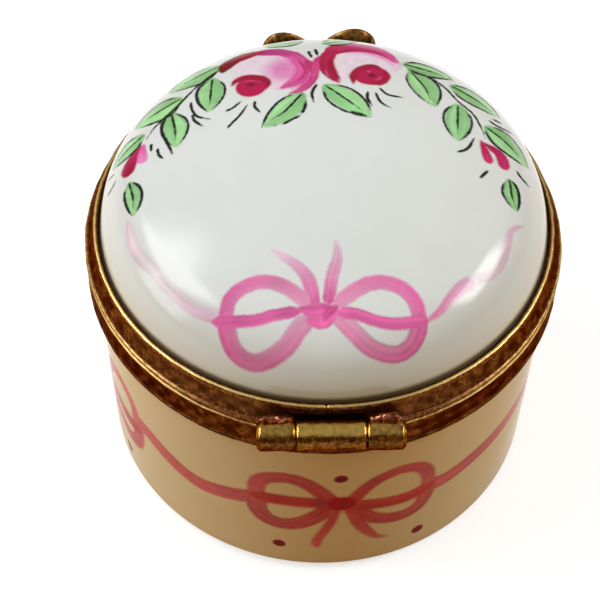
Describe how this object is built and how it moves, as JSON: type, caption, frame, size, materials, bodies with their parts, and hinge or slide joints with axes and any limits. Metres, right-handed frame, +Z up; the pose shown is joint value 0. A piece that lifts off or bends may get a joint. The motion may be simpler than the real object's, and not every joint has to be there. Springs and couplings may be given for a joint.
{
  "type": "hinged porcelain keepsake box",
  "caption": "Small round porcelain keepsake box with a domed lid, beaded brass bezels, a barrel hinge and a ribbon bow clasp; holds a child's first tooth.",
  "frame": {"origin": "centre of the foot ring, on the plane the box stands on", "axes": "+Z up; the bow clasp faces -Y and the hinge is at +Y, with its axis along X"},
  "size_m": [0.0444, 0.0486, 0.037],
  "materials": {
    "porcelain": "glazed white porcelain",
    "brass": "antique brass, rubbed bright on the edges",
    "solder": "coppery brazing solder",
    "cement": "matt bedding cement"
  },
  "bodies": {
    "base": {"base_cup": "porcelain", "base_bedding_ring": "cement", "base_bezel": "brass", "base_throat_ring": "brass", "base_knuckle": "brass", "base_hinge_solder": "solder", "catch_stud": "brass"},
    "lid": {"lid_dome": "porcelain", "lid_bedding_ring": "cement", "lid_bezel": "brass", "lid_seat_ring": "brass", "lid_knuckle_left": "brass", "lid_knuckle_right": "brass", "hinge_pin": "brass", "lid_hinge_solder": "solder", "clasp_tongue": "brass", "clasp_bow": "brass"}
  },
  "joints": [
    {"name": "lid_hinge", "type": "hinge", "parent": "base", "child": "lid", "pos_m": [0, 0.02295, 0.02675], "axis": [-1, 0, 0], "range_deg": [0, 105]}
  ]
}
